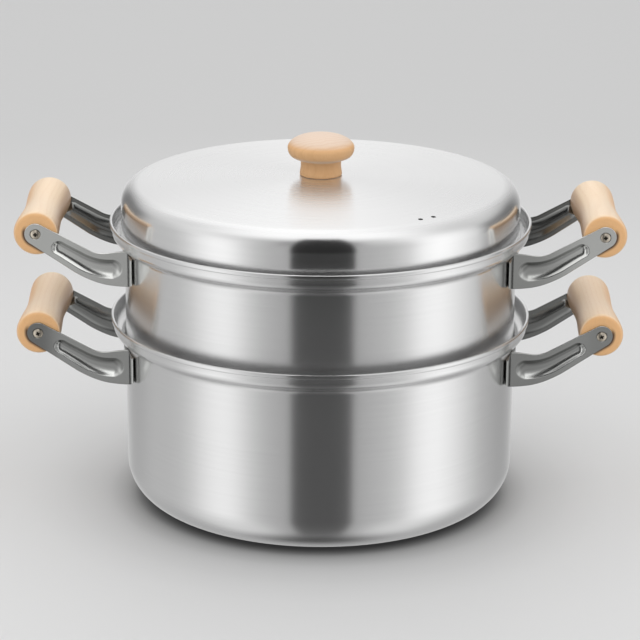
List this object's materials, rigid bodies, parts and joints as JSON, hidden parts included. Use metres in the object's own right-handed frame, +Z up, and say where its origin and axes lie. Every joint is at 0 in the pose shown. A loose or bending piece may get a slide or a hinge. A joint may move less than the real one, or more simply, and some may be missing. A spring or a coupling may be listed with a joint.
{
  "type": "steamer pot",
  "caption": "Stainless steel pot with a stacking steamer tier, domed vented lid with wooden knob, and wooden grips on stamped U brackets.",
  "frame": {"origin": "centre of the pot's flat base, on the surface that it stands on", "axes": "+X from handle to handle, +Y away from the viewer, +Z up along the pot's axis"},
  "size_m": [0.3698, 0.2604, 0.2304],
  "materials": {
    "steel": "satin brushed round the axis",
    "bracket_steel": "tumbled, semi-gloss",
    "beech": "turned beech with clear satin lacquer",
    "sleeve_steel": "plain turned",
    "screw_steel": "polished",
    "brass": "plain turned"
  },
  "bodies": {
    "pot": {"pot_shell": "steel", "pot_bracket_left": "bracket_steel", "pot_bracket_right": "bracket_steel", "pot_grip_left": "beech", "pot_grip_right": "beech", "pot_sleeve_left": "sleeve_steel", "pot_sleeve_right": "sleeve_steel", "pot_screw_left_front": "screw_steel", "pot_screw_left_rear": "screw_steel", "pot_screw_right_front": "screw_steel", "pot_screw_right_rear": "screw_steel"},
    "steamer": {"steamer_shell": "steel", "steamer_bracket_left": "bracket_steel", "steamer_bracket_right": "bracket_steel", "steamer_grip_left": "beech", "steamer_grip_right": "beech", "steamer_sleeve_left": "sleeve_steel", "steamer_sleeve_right": "sleeve_steel", "steamer_screw_left_front": "screw_steel", "steamer_screw_left_rear": "screw_steel", "steamer_screw_right_front": "screw_steel", "steamer_screw_right_rear": "screw_steel"},
    "lid": {"lid_shell": "steel", "knob": "beech", "knob_insert": "brass", "knob_washer": "sleeve_steel", "knob_screw": "screw_steel"}
  },
  "joints": [
    {"name": "steamer_lift", "type": "slide", "parent": "pot", "child": "steamer", "axis": [0, 0, 1], "range_m": [0, 0.12]},
    {"name": "lid_lift", "type": "slide", "parent": "steamer", "child": "lid", "axis": [0, 0, 1], "range_m": [0, 0.12]}
  ]
}
